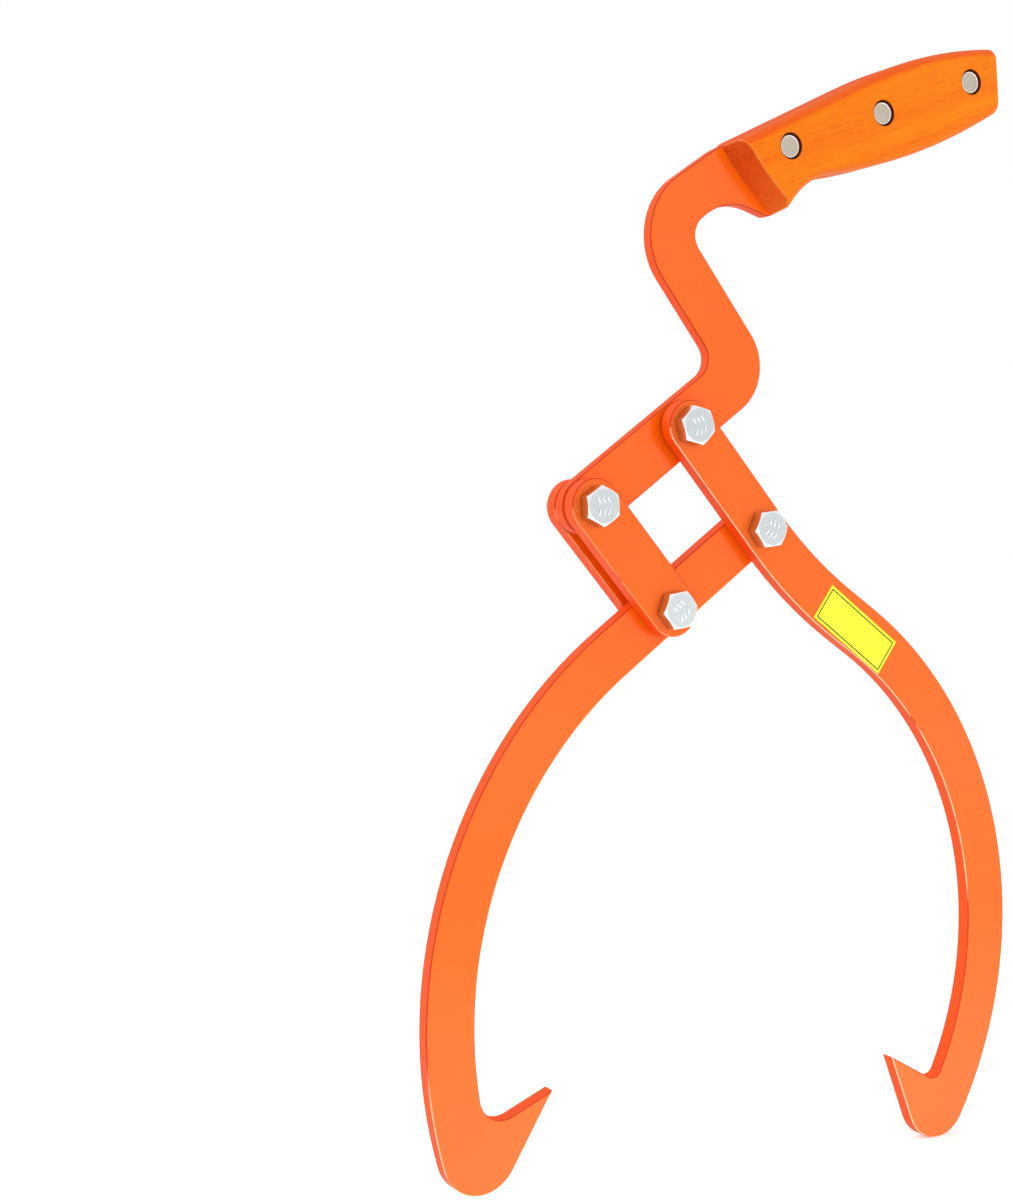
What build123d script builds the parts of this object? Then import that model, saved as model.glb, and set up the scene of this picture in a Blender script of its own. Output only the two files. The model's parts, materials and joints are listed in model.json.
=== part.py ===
from build123d import *
from math import cos, radians, sin, sqrt, tan
import os

# Log tongs: two hooked jaws on a four-bar linkage, carried by a cranked bar with a wooden handle.
# Millimetres, +Z up, front face toward -Y, origin at the middle rivet in the middle of the handle bar.
# Outlines are drawn flat as (x, z) and headings are degrees up from +X.

# Linkage: four pivots at the corners of a rhombus
pivot_pitch = 50.0
top_pivot = Vector(-85.0, -121.5)
bar_heading = 36.18
crank_heading = -48.72

# Plates, cut from flat bar stock and deburred
jaw_thick = 6.0
link_thick = 6.0
bar_thick = 5.0
jaw_width = 19.0
link_width = 20.0
bar_width = 20.5
plate_gap = 0.3
deburr = 0.4

# Cranked handle bar: foot along the linkage, riser, neck, then the tang inside the handle
riser_reach = 36.7
riser_heading = 128.1
riser_width = 20.0
heel_round = 19.5
knee_round = 8.0
neck_heading = 34.6
shoulder_round = 26.0
crook_heading = 39.0
crook_round = 8.2
neck_hollow = Vector(-65.4, -35.9)
neck_hollow_round = 22.5

# Handle outline, shared by the tang and the two scales
neck_top = Vector(-70.8, -18.8)
neck_top_round = 30.0
handle_top = Vector(22.8, 27.6)
handle_top_round = 195.0
butt_top = Vector(57.5, 32.2)
butt_bottom = Vector(59.6, 6.9)
butt_round = 2.0
belly = Vector(18.6, -15.9)
belly_round = 250.0
finger_hollow = Vector(-32.8, -26.7)
finger_hollow_round = 30.0
guard = Vector(-44.9, -42.0)
guard_round = 4.5

# Wooden scales on both sides of the tang
scale_thick = 11.0
scale_round = 5.0
scale_end_round = 1.2
scale_end_lean = 3.8
scale_end = Vector(-59.8, -29.9)
scale_end_upper = -58.0
scale_end_lower = -36.0
scale_end_bow = 110.0
scale_end_run = 90.0
back_setback = 4.0

# Two-piece rivets through the handle
rivet_pitch = 47.0
rivet_heading = 21.0
rivet_head = 8.6
rivet_head_thick = 2.0
rivet_rim = 0.5
rivet_sunk = 0.6
rivet_seat_gap = 0.6
rivet_tube = 5.0
rivet_pin = 3.4
rivet_gap = 0.05
rivet_blind = 4.5
rivet_end_gap = 0.5

# M8 hexagon bolts with nylon-ring lock nuts
bolt_size = 8.0
hex_flats = 13.0
head_high = 5.3
short_bolt = 25.0
long_bolt = 30.0
bolt_tip_chamfer = 1.0
chamfer_circle = 0.94
chamfer_slope = 30.0
nut_high = 8.0
nut_hex_high = 5.6
collar_wall = 0.8
collar_edge = 1.0
ring_wall = 1.3
ring_high = 2.0
lip_reach = 0.7
thread_gap = 0.03
ring_gap = 0.05
pivot_clearance = 0.05
open_pivot_clearance = 0.15
pivot_play = 0.1

# How far each bolt head is turned, clockwise from straight up, read off the object
head_turn = {"top": -16.7, "left": -3.9, "right": 23.0, "bottom": -39.1}

# Left jaw: straight arm from the right pivot to past the bottom one, then one long bow to the hook
left_arm_past = 27.5
left_bow = 160.75
left_hook = dict(
    tip_bearing=192.3, reach=28.6, upper=22.4, lower=58.4, notch_round=9.0, heel_round=15.0)

# Right jaw: straight crank from the top pivot to past the right one, outward bend, short straight,
# then the bow back in; the bow's inner side swells toward the bend
right_crank_past = 0.5
right_swell = 2.2
right_flare = 179.0
right_flare_turn = 15.24
right_run = 13.7
right_bow = 143.9
right_hook = dict(
    tip_bearing=-27.6, reach=26.7, upper=150.7, lower=111.3, notch_round=4.5, heel_round=14.4)

# Layers from front to back; the handle bar and the left jaw are centred on y = 0
middle_thick = max(jaw_thick, bar_thick)
front_layer = -middle_thick / 2 - plate_gap
rear_layer = middle_thick / 2 + plate_gap + link_thick

# Lock nut, worked out from the bolt
ring_outer = bolt_size + 2 * ring_wall
nut_collar = ring_outer + 2 * collar_wall
lip_bore = bolt_size + 2 * lip_reach

# Outline edges shorter than this are left out
shortest_edge = 0.001


def ray(heading):
    return Vector(cos(radians(heading)), sin(radians(heading)))


def left_of(heading):
    return ray(heading + 90)


def meet(p, p_heading, q, q_heading):
    # Point where two lines cross
    along = ray(p_heading)
    across = left_of(q_heading)
    return p + along * ((q - p).dot(across) / along.dot(across))


def meet_circle(p, heading, centre, radius):
    # Far crossing of a line with a circle, walking along the heading from p
    along = ray(heading)
    nearest = (centre - p).dot(along)
    foot = p + along * nearest
    return foot + along * sqrt(radius**2 - (foot - centre).length**2)


# Pivot centres
left_pivot = top_pivot - ray(bar_heading) * pivot_pitch
right_pivot = top_pivot + ray(crank_heading) * pivot_pitch
bottom_pivot = left_pivot + right_pivot - top_pivot


def rounded(corners):
    # Closed face from corner points, each with its own corner radius
    arcs = []
    for i, (corner, radius) in enumerate(corners):
        before = (corners[i - 1][0] - corner).normalized()
        after = (corners[(i + 1) % len(corners)][0] - corner).normalized()
        half = radians(before.get_angle(after) / 2)
        reach = radius / tan(half)
        middle = corner + (before + after).normalized() * (radius / sin(half) - radius)
        arcs.append((corner + before * reach, middle, corner + after * reach))
    edges = []
    for i, (start, middle, end) in enumerate(arcs):
        if (end - start).length > shortest_edge:
            edges.append(ThreePointArc(start, middle, end))
        following = arcs[(i + 1) % len(arcs)][0]
        if (following - end).length > shortest_edge:
            edges.append(Line(end, following))
    return make_face(edges)


def plate(face, thick, back):
    # Flat face stood up in XZ, its back at y = back
    return Pos(Y=back) * extrude(Plane.XZ * face, amount=thick)


def deburred(solid):
    # Break the front and back edges of a cut plate
    front = solid.faces().sort_by(Axis.Y)[0]
    back = solid.faces().sort_by(Axis.Y)[-1]
    return chamfer(front.outer_wire().edges() + back.outer_wire().edges(), deburr)


def peg(point, diameter, depth, back):
    # Round bar along Y, its back end at y = back
    return plate(Pos(point.X, point.Y) * Circle(diameter / 2), depth, back)


def pivot_hole(point, clearance=pivot_clearance):
    reach = rear_layer + jaw_thick
    return peg(point, bolt_size + 2 * clearance, 2 * reach, reach)


def rivet_points():
    # Neck, middle and butt, in a line along the handle
    return [ray(rivet_heading) * (rivet_pitch * n) for n in (-1, 0, 1)]


def handle_corners(ease):
    # Guard, underside, butt and top of the handle; ease is 0 where the corners stay sharp
    return [
        (guard, guard_round * ease),
        (finger_hollow, finger_hollow_round),
        (belly, belly_round),
        (butt_bottom, butt_round * ease),
        (butt_top, butt_round * ease),
        (handle_top, handle_top_round),
        (neck_top, neck_top_round),
    ]


def bar_face(ease):
    # Whole handle bar from the left pivot to the butt
    up = left_of(bar_heading) * (bar_width / 2)
    end = left_pivot - ray(bar_heading) * (bar_width / 2)
    riser = top_pivot + ray(bar_heading) * riser_reach
    side = left_of(riser_heading) * (riser_width / 2)
    heel = meet(top_pivot - up, bar_heading, riser - side, riser_heading)
    knee = meet(top_pivot + up, bar_heading, riser + side, riser_heading)
    shoulder = meet(neck_top, neck_heading, riser + side, riser_heading)
    crook = meet(neck_hollow, crook_heading, riser - side, riser_heading)
    corners = [
        (end + up, bar_width / 2),
        (end - up, bar_width / 2),
        (heel, heel_round),
        (crook, crook_round),
        (neck_hollow, neck_hollow_round),
    ]
    corners += handle_corners(ease)
    corners += [(shoulder, shoulder_round), (knee, knee_round)]
    return rounded(corners)


def handle_bar():
    bar = deburred(plate(bar_face(1), bar_thick, bar_thick / 2))
    bar -= pivot_hole(top_pivot)
    bar -= pivot_hole(left_pivot)
    for point in rivet_points():
        bar -= peg(point, rivet_tube + 2 * rivet_gap, 2 * bar_thick, bar_thick)
    return bar


def scale_window(bow):
    # Everything behind the bowed front end of a scale, which leans back from the tang outward
    top = bow - ray(scale_end_upper) * scale_end_run
    low = bow + ray(scale_end_lower) * scale_end_run
    far = ray(rivet_heading) * (2 * scale_end_run)
    face = rounded([(top, 0), (bow, scale_end_bow), (low, 0), (low + far, 0), (top + far, 0)])
    lean = ray(rivet_heading) * scale_end_lean
    outward = Vector(lean.X, -scale_thick, lean.Y)
    return Pos(Y=-bar_thick / 2) * extrude(Plane.XZ * face, amount=outward.length, dir=outward)


def edges_beyond(face, level):
    # Edges of a scale's end that lie in front of a level
    return [edge for edge in face.edges() if edge.center().Y < level]


def scale(setback):
    # Front scale: flat inside on the tang, long edges rounded for the hand, ends only eased
    inside = -bar_thick / 2
    outside = inside - scale_thick
    bow = scale_end + ray(rivet_heading) * setback
    bow_point = Vector(bow.X, (inside + outside) / 2, bow.Y)
    block = plate(bar_face(0), scale_thick, inside) & scale_window(bow)
    rim = block.faces().sort_by(Axis.Y)[0].edges()
    butt_edge = rim.sort_by(Axis.X)[-1]
    bow_edge = rim.sort_by_distance(bow_point)[0]
    block = fillet([edge for edge in rim if edge not in (butt_edge, bow_edge)], scale_round)
    butt = block.faces().filter_by(GeomType.PLANE).sort_by(Axis.X)[-1]
    block = fillet(edges_beyond(butt, inside - deburr), butt_round)
    end = block.faces().sort_by_distance(bow_point)[0]
    block = fillet(edges_beyond(end, inside - deburr), scale_end_round)
    seat_deep = rivet_head_thick + rivet_sunk
    for point in rivet_points():
        block -= peg(point, rivet_tube + 2 * rivet_gap, 2 * scale_thick, inside)
        block -= peg(point, rivet_head + 2 * rivet_seat_gap, scale_thick, outside + seat_deep)
    return block


def rivet_disc(point):
    # Flat rivet head, its rim eased, lying a little below the face of the front scale
    under = -bar_thick / 2 - scale_thick + rivet_head_thick + rivet_sunk
    disc = peg(point, rivet_head, rivet_head_thick, under)
    return chamfer(disc.edges().sort_by(Axis.Y)[0], rivet_rim), under


def rivet_post(point):
    # Front half: head and blind tube
    disc, under = rivet_disc(point)
    tube_end = -under - rivet_end_gap
    tube = peg(point, rivet_tube, tube_end - under, tube_end)
    bore = peg(point, rivet_pin + 2 * rivet_gap, tube_end - under - rivet_blind, tube_end)
    return disc + tube - bore


def rivet_cap(point):
    # Back half: head and pin, the pin pressed into the tube
    disc, under = rivet_disc(point)
    pin = peg(point, rivet_pin, -2 * under - rivet_blind - rivet_end_gap, -under)
    return mirror(disc, about=Plane.XZ) + pin


def side_edges(start, heading, moves, offset):
    # One side of a strip: moves are (0, length) for a straight and (radius, turn) for a bend
    edges = []
    for radius, amount in moves:
        begin = start + left_of(heading) * offset
        if radius == 0:
            start += ray(heading) * amount
            edges.append(Line(begin, start + left_of(heading) * offset))
        else:
            centre = start + left_of(heading) * radius
            start = centre + (start - centre).rotate(Axis.Z, amount)
            middle = centre + (begin - centre).rotate(Axis.Z, amount / 2)
            end = centre + (begin - centre).rotate(Axis.Z, amount)
            heading += amount
            edges.append(ThreePointArc(begin, middle, end))
    return edges, start, heading


def inner_side(start, heading, end, end_heading):
    # Inner side of an arm, straight or with the flare between two straights
    if heading == end_heading:
        return [Line(start, end)]
    corner = meet(start, heading, end, end_heading)
    return FilletPolyline(start, corner, end, radius=right_flare + jaw_width / 2).edges()


def arc_about(centre, begin, end):
    way = (begin - centre).normalized() + (end - centre).normalized()
    return ThreePointArc(begin, centre + way.normalized() * (begin - centre).length, end)


def jaw_face(start, heading, moves, bow, swell, hook, hand):
    # Round pivot end, arm, bow and hook; hand is 1 where the bow turns left and -1 where it turns right
    half = jaw_width / 2
    outer, root, root_heading = side_edges(start, heading, moves, -hand * half)
    toward = left_of(root_heading) * hand
    centre = root + toward * bow
    tip = centre + ray(hook["tip_bearing"]) * (bow - half - hook["reach"])
    # The inner circle is smaller by the swell and shifted to touch the plain one straight out sideways
    inner_bow = bow - half - swell
    inner_centre = centre + Vector(-hand * swell, 0)
    inner_root = inner_centre - toward * inner_bow
    notch = meet_circle(tip, hook["upper"] + 180, inner_centre, inner_bow)
    heel = meet_circle(tip, hook["lower"] + 180, centre, bow + half)
    side = left_of(heading) * (hand * half)
    cap = ThreePointArc(start - side, start - ray(heading) * half, start + side)
    inner = inner_side(start + side, heading, inner_root, root_heading)
    edges = inner + outer + [cap, Line(heel, tip), Line(tip, notch)]
    edges.append(arc_about(inner_centre, inner_root, notch))
    edges.append(arc_about(centre, root - toward * half, heel))
    face = make_face(edges)
    for corner, radius in ((notch, hook["notch_round"]), (heel, hook["heel_round"])):
        face = fillet(face.vertices().sort_by_distance(corner)[0], radius)
    return face


def left_jaw():
    arm = [(0, pivot_pitch + left_arm_past)]
    face = jaw_face(right_pivot, bar_heading + 180, arm, left_bow, 0, left_hook, 1)
    jaw = deburred(plate(face, jaw_thick, jaw_thick / 2))
    jaw -= pivot_hole(bottom_pivot)
    return jaw - pivot_hole(right_pivot, open_pivot_clearance)


def right_jaw():
    arm = [(0, pivot_pitch + right_crank_past), (right_flare, right_flare_turn), (0, right_run)]
    face = jaw_face(top_pivot, crank_heading, arm, right_bow, right_swell, right_hook, -1)
    jaw = deburred(plate(face, jaw_thick, front_layer))
    jaw -= pivot_hole(top_pivot)
    return jaw - pivot_hole(right_pivot)


def link(back):
    middle = (left_pivot + bottom_pivot) * 0.5
    face = Pos(middle.X, middle.Y) * Rot(Z=crank_heading) * SlotCenterToCenter(pivot_pitch, link_width)
    strap = deburred(plate(face, link_thick, back))
    strap -= pivot_hole(left_pivot)
    return strap - pivot_hole(bottom_pivot)


def chamfer_cone(point, high, small_end, back_facing):
    # Cone that trims hexagon corners at one end
    small = hex_flats / 2 * chamfer_circle
    big = small + high / tan(radians(chamfer_slope))
    cone = Cone(big, small, high)
    turn = -90 if back_facing else 90
    middle = small_end - high / 2 if back_facing else small_end + high / 2
    return Pos(point.X, middle, point.Y) * Rot(X=turn) * cone


def hexagon(point, turn, high, back):
    face = Pos(point.X, point.Y) * Rot(Z=90 - turn) * RegularPolygon(hex_flats / 2, 6, major_radius=False)
    return plate(face, high, back)


def pivot_bolt(point, turn, length, seat):
    # Hexagon head at the front, plain round shank to the back
    head = hexagon(point, turn, head_high, seat)
    head &= chamfer_cone(point, head_high, seat - head_high, False)
    shank = peg(point, bolt_size, length, seat + length)
    shank = chamfer(shank.edges().sort_by(Axis.Y)[-1], bolt_tip_chamfer)
    return head + shank


def lock_nut(point, turn, seat):
    # Hexagon with a round collar that holds the nylon ring
    top = seat + nut_high
    body = hexagon(point, turn, nut_hex_high, seat + nut_hex_high)
    body &= chamfer_cone(point, nut_hex_high, seat + nut_hex_high, True)
    collar = peg(point, nut_collar, nut_high, top)
    body += chamfer(collar.edges().sort_by(Axis.Y)[-1], collar_edge)
    body -= peg(point, bolt_size + 2 * thread_gap, nut_high, top)
    body -= peg(point, lip_bore, nut_high - nut_hex_high, top)
    pocket_high = ring_high + ring_gap
    return body - peg(point, ring_outer + 2 * ring_gap, pocket_high, seat + nut_hex_high + pocket_high)


def nut_ring(point, seat):
    back = seat + nut_hex_high + ring_high
    ring = peg(point, ring_outer, ring_high, back)
    return ring - peg(point, bolt_size + 2 * thread_gap, ring_high, back)


def export(name, solid):
    export_step(solid, os.path.join("parts", name + ".step"))


os.makedirs("parts", exist_ok=True)
export("handle_bar", handle_bar())
export("handle_scale_front", scale(0))
export("handle_scale_back", mirror(scale(back_setback), about=Plane.XZ))
for place, point in zip(("neck", "middle", "butt"), rivet_points()):
    export("rivet_post_" + place, rivet_post(point))
    export("rivet_cap_" + place, rivet_cap(point))
export("left_jaw", left_jaw())
export("right_jaw", right_jaw())
export("front_link", link(front_layer))
export("back_link", link(rear_layer))
# Each pivot: centre, bolt length, thickness of its front plate, back face of its last plate
pivots = {
    "top": (top_pivot, short_bolt, jaw_thick, bar_thick / 2),
    "left": (left_pivot, long_bolt, link_thick, rear_layer),
    "right": (right_pivot, short_bolt, jaw_thick, jaw_thick / 2),
    "bottom": (bottom_pivot, long_bolt, link_thick, rear_layer),
}
for place, (point, length, front_thick, last_face) in pivots.items():
    head_seat = front_layer - front_thick - pivot_play
    nut_seat = last_face + pivot_play
    export("pivot_bolt_" + place, pivot_bolt(point, head_turn[place], length, head_seat))
    export("lock_nut_" + place, lock_nut(point, -head_turn[place], nut_seat))
    export("nut_ring_" + place, nut_ring(point, nut_seat))
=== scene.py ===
# %% [markdown]
# Log tongs
#
# Tongs for lifting and dragging heavy, rough loads. Two flat hook jaws hang on a linkage of four
# bolts, so the heavier the load, the harder they bite. A cranked bar carries the linkage and ends
# in a wooden handle. The frame, with its joints, is already made to size; this lesson gives it its
# looks.

# %% Load the frame
import bpy
import json
from math import cos, pi, radians, sin, tan
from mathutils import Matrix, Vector


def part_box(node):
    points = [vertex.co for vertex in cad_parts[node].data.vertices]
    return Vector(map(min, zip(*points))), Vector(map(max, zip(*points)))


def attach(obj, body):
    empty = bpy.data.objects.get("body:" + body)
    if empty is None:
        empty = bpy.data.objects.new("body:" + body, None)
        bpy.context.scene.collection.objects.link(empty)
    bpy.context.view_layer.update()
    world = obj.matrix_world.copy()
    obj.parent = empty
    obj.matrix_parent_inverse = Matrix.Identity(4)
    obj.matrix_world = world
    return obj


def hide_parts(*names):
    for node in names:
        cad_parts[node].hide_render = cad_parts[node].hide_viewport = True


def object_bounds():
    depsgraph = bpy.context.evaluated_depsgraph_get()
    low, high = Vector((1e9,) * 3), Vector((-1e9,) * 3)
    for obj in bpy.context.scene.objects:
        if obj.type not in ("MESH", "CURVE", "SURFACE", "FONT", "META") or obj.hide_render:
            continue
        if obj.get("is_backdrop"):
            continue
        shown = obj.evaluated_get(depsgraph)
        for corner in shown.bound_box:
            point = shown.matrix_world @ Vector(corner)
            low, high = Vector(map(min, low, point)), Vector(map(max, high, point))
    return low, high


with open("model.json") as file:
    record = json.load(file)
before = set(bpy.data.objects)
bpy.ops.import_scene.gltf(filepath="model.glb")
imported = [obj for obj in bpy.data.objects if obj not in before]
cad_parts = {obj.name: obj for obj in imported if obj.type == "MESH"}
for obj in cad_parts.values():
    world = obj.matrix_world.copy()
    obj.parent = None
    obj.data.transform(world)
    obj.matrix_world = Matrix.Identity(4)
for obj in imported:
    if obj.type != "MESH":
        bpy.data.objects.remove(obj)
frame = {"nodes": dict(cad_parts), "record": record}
cad_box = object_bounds()
nodes = frame["nodes"]
# Lengths are written in millimetres and turned into metres, which Blender counts in
mm = 0.001
print("frame:", len(nodes), "nodes,", [round(side / mm) for side in cad_box[1] - cad_box[0]], "mm")


# %% [markdown]
# Colours and shader nodes
#
# Colours are written as the hex codes that a paint chart gives, and shaders want linear light, so
# one function turns one into the other. A second adds a shader node, sets its options and wires its
# inputs, so that a finish reads as a list of what goes into what. A third starts a finish from its
# plain values. A Mix node keeps its sockets for numbers and for colours under the same names, so
# they are known here by their places, which get names first. In the names of values, from says
# where an effect starts, full where it is whole, and cover how much it hides of what lies under it.

# %% Helpers for finishes
number_a, number_b = 2, 3
colour_a, colour_b, mixed_colour = 6, 7, 2


def linear(hex_code):
    # The sRGB curve: straight near black, then a power
    channels = [int(hex_code[i:i + 2], 16) / 255 for i in (1, 3, 5)]
    return [c / 12.92 if c <= 0.04045 else ((c + 0.055) / 1.055) ** 2.4 for c in channels] + [1.0]


def add_node(tree, kind, inputs=None, **settings):
    made = tree.nodes.new(kind)
    for name, value in settings.items():
        setattr(made, name, value)
    for socket, value in (inputs or {}).items():
        if isinstance(value, bpy.types.NodeSocket):
            tree.links.new(value, made.inputs[socket])
        else:
            made.inputs[socket].default_value = value
    return made


def new_finish(name, uniform):
    finish = bpy.data.materials.new(name)
    finish.use_nodes = True
    shader = finish.node_tree.nodes["Principled BSDF"]
    for socket, value in uniform.items():
        shader.inputs[socket].default_value = value
    return finish, finish.node_tree, shader


print("middle grey as linear light:", [round(c, 3) for c in linear("#808080")])


# %% [markdown]
# Powder coat: flats and cut sides
#
# The steel plates are sprayed with orange powder and baked. The cut sides of a plate are painted a deeper
# red than its flats, as painted shade, and the hooks are painted paler toward their feet, as painted light
# from below. A painted map could hold this, but the plates lie flat, so how squarely a face looks forward or
# back, read from its normal, already tells flats and sides apart.
# That is called square here: 1 on a flat and 0 on a side.

# %% Paint on flats and cut sides
orange_deep, orange_light = "#fe670a", "#ff6b0a"
# Painted light from below: the hooks turn paler toward their feet
hook_light_orange = "#ff7130"
# Painted shade: the cut sides are a deeper red than the flats
side_shade_orange = "#fd5404"
drift_size = 45.0 * mm
hook_top, hook_foot = -310.0 * mm, -390.0 * mm


def plate_paint(tree, spot, side):
    drift = add_node(tree, "ShaderNodeTexNoise", {
        "Vector": spot, "Scale": 1 / drift_size, "Detail": 2.0})
    body = add_node(tree, "ShaderNodeMix", {
        "Factor": drift.outputs[0], colour_a: linear(orange_deep), colour_b: linear(orange_light)},
        data_type="RGBA")
    height = add_node(tree, "ShaderNodeSeparateXYZ", {0: spot})
    # Painted light from below, growing toward the feet of the hooks
    hook = add_node(tree, "ShaderNodeMapRange", {
        "Value": height.outputs["Z"], "From Min": hook_top, "From Max": hook_foot})
    pale = add_node(tree, "ShaderNodeMix", {
        "Factor": hook.outputs[0], colour_a: body.outputs[mixed_colour],
        colour_b: linear(hook_light_orange)}, data_type="RGBA")
    # Painted shade on the cut sides
    deep = add_node(tree, "ShaderNodeMix", {
        "Factor": side, colour_a: pale.outputs[mixed_colour], colour_b: linear(side_shade_orange)},
        data_type="RGBA")
    return deep.outputs[mixed_colour]


print("hooks turn paler over the last", round((hook_top - hook_foot) / mm), "mm")


# %% [markdown]
# Powder coat: broken edges
#
# Between flat and side the edge is broken at about 45 degrees. A thin dark line is painted along it as
# painted shade, and edges that face down show a pale line in patches instead, a painted highlight. The lines
# could be thin strips of their own, but the normal finds these faces too: half square to the front, and for
# the pale ones turned a little down.

# %% Paint on broken edges
# Painted shade: the thin dark line along the broken edges
edge_shade_dark = "#c82c00"
edge_square, edge_band = 0.7, 0.2
edge_cover = 0.8
down_from, down_full = -0.04, -0.1
patch_size = 14.0 * mm
patch_from, patch_full = 0.3, 0.46


def edge_paint(tree, spot, way, square, down_edge_paint, paint):
    slant = add_node(tree, "ShaderNodeMath", {
        0: square, 1: edge_square, 2: edge_band}, operation="COMPARE")
    below = add_node(tree, "ShaderNodeMapRange", {
        "Value": way.outputs["Z"], "From Min": down_from, "From Max": down_full})
    highlight_breakup = add_node(tree, "ShaderNodeTexNoise", {
        "Vector": spot, "Scale": 1 / patch_size, "Detail": 3.0})
    patchy = add_node(tree, "ShaderNodeMapRange", {
        "Value": highlight_breakup.outputs[0], "From Min": patch_from, "From Max": patch_full})
    # Painted highlight on down-facing broken edges, broken into patches
    highlight_mask = add_node(tree, "ShaderNodeMath", {
        0: below.outputs[0], 1: patchy.outputs[0]}, operation="MULTIPLY")
    edge = add_node(tree, "ShaderNodeMix", {
        "Factor": highlight_mask.outputs[0], colour_a: linear(edge_shade_dark), colour_b: linear(down_edge_paint)},
        data_type="RGBA")
    thin = add_node(tree, "ShaderNodeMath", {
        0: slant.outputs[0], 1: edge_cover}, operation="MULTIPLY")
    skin = add_node(tree, "ShaderNodeMix", {
        "Factor": thin.outputs[0], colour_a: paint, colour_b: edge.outputs[mixed_colour]},
        data_type="RGBA")
    return skin.outputs[mixed_colour]


# The patches break up the painted highlight on the down-facing edges
print("rubbed patches are about", round(patch_size / mm), "mm long")


# %% [markdown]
# Powder coat: shine and ripple
#
# Baked powder melts into a glossy skin with a faint orange-peel ripple about a millimetre across, and comes
# out duller on the cut sides. The ripple could be modelled, but it is only some hundredths of a millimetre
# deep, so bump is enough. One function gives all three coats, which differ in the colour painted on their
# down-facing broken edges: the fresh bar keeps the dark painted shade there, the links get a faint painted
# highlight and the jaws a clear one.

# %% Powder-coated steel
flat_square, side_square = 0.9, 0.6
flat_rough, side_rough = 0.14, 0.55
peel_size, peel_depth = 1.1 * mm, 0.02 * mm
peel_strength = 0.06
# Painted highlights for the down-facing broken edges: faint on the links, clear on the jaws
faint_highlight_orange, strong_highlight_orange = "#ffa066", "#ffd8aa"


def powder_coat(name, down_edge_paint):
    # Glossy polyester powder: a strong even colour under a clear shine
    finish, tree, shader = new_finish(name, {"IOR": 1.5, "Specular IOR Level": 0.32})
    place = add_node(tree, "ShaderNodeTexCoord")
    spot = place.outputs["Object"]
    way = add_node(tree, "ShaderNodeSeparateXYZ", {0: place.outputs["Normal"]})
    square = add_node(tree, "ShaderNodeMath", {0: way.outputs["Y"]}, operation="ABSOLUTE")
    side = add_node(tree, "ShaderNodeMapRange", {
        "Value": square.outputs[0], "From Min": flat_square, "From Max": side_square})
    paint = plate_paint(tree, spot, side.outputs[0])
    paint = edge_paint(tree, spot, way, square.outputs[0], down_edge_paint, paint)
    tree.links.new(paint, shader.inputs["Base Color"])
    shine = add_node(tree, "ShaderNodeMapRange", {
        "Value": side.outputs[0], "To Min": flat_rough, "To Max": side_rough})
    tree.links.new(shine.outputs[0], shader.inputs["Roughness"])
    peel = add_node(tree, "ShaderNodeTexNoise", {
        "Vector": spot, "Scale": 1 / peel_size, "Detail": 1.0})
    ripple = add_node(tree, "ShaderNodeBump", {
        "Height": peel.outputs[0], "Strength": peel_strength, "Distance": peel_depth})
    tree.links.new(ripple.outputs[0], shader.inputs["Normal"])
    return finish


# The bar's down-facing edges keep the dark painted shade
coat = powder_coat("powder_coated_steel_orange", edge_shade_dark)
faint_highlight_coat = powder_coat("powder_coated_steel_orange_faint_highlight", faint_highlight_orange)
strong_highlight_coat = powder_coat("powder_coated_steel_orange_strong_highlight", strong_highlight_orange)
print("made", coat.name, "for the bar")
print("made", faint_highlight_coat.name, "for the links and", strong_highlight_coat.name, "for the jaws")


# %% [markdown]
# Varnished wood: fibres
#
# The handle scales are hardwood, stained orange and varnished, with slow bands of growth, fine
# streaks and short dark pores. A picture of wood could be wrapped round the scales, but it would
# smear on their rounded edges. Here each pattern fills the solid, on axes turned along the handle
# and stretched that way, so it runs through the wood as fibres do.

# %% Bands, streaks and pores
stain_deep, stain_light = "#f87000", "#ff8804"
stain_from, stain_full = 0.35, 0.65
band_wide, streak_wide = 6.0 * mm, 0.9 * mm
streak_share = 0.5
# The first number draws a pattern out along the handle
streak_draw, pore_draw = (0.04, 1.0, 1.0), (0.06, 1.0, 1.0)
# Real pores are half as wide or less, too fine to show, so they are drawn coarser
pore_wide = 0.38 * mm
pore_dark = "#b84200"
pore_from, pore_full, pore_cover = 0.56, 0.66, 0.26


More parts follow.
